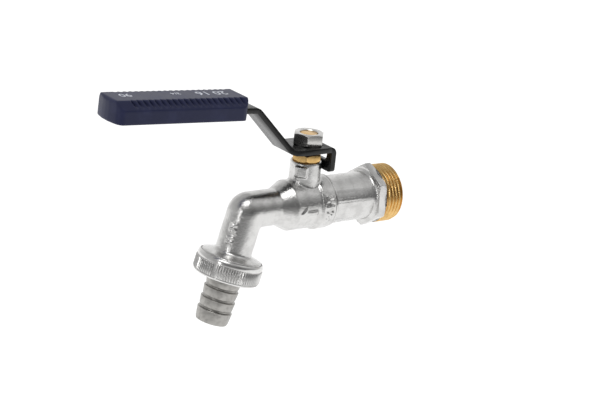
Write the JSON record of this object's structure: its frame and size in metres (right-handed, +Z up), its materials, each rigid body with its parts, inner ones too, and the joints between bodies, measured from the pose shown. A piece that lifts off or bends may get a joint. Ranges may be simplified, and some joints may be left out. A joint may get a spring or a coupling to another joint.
{
  "type": "garden ball tap",
  "caption": "Garden ball tap: male threaded inlet, bent spout with a union nut and barbed hose tail, and a quarter-turn lever with a moulded grip.",
  "frame": {"origin": "centre of the inlet thread, in the plane where the thread meets its hexagon", "axes": "+X along the pipe and out of the inlet, +Z up the stem, the spout and the open lever towards -X"},
  "size_m": [0.1509, 0.03, 0.108],
  "materials": {
    "chromed_casting": "satin, slightly grainy",
    "chromed_connector": "satin, thread bare",
    "bright_chrome": "polished",
    "dull_nickel": "dull plated",
    "plated_steel": "satin",
    "bare_brass": "turned",
    "polished_ball": "mirror",
    "black_paint": "gloss",
    "blue_plastic": "semi-matt",
    "white_seat": "waxy",
    "white_seal": "waxy",
    "black_rubber": "matt"
  },
  "bodies": {
    "valve": {"body": "chromed_casting", "inlet_connector": "chromed_connector", "connector_seal": "white_seal", "inlet_seat": "white_seat", "outlet_seat": "white_seat", "stem_thrust_washer": "white_seat", "packing_ring_lower": "white_seat", "packing_ring_upper": "white_seat", "gland_nut": "bare_brass"},
    "lever_set": {"lever": "black_paint", "lever_grip": "blue_plastic", "lever_nut": "plated_steel", "stem": "bare_brass", "ball": "polished_ball"},
    "tail": {"hose_tail": "dull_nickel", "union_washer": "black_rubber"},
    "union": {"union_nut": "bright_chrome"}
  },
  "joints": [
    {"name": "lever_turn", "type": "hinge", "parent": "valve", "child": "lever_set", "pos_m": [-0.038, 0, 0], "axis": [0, 0, 1], "range_deg": [-90, 0]},
    {"name": "tail_slide", "type": "slide", "parent": "valve", "child": "tail", "axis": [-0.2554, 0, -0.9668], "range_m": [0, 0.00272]},
    {"name": "union_turn", "type": "hinge", "parent": "tail", "child": "union", "pos_m": [-0.07446, 0, -0.02596], "axis": [-0.2554, 0, -0.9668], "range_deg": [0, 540]}
  ],
  "couplings": [
    {"joint": "union_turn", "follows": "tail_slide", "rad_per_m": 3463.7}
  ]
}
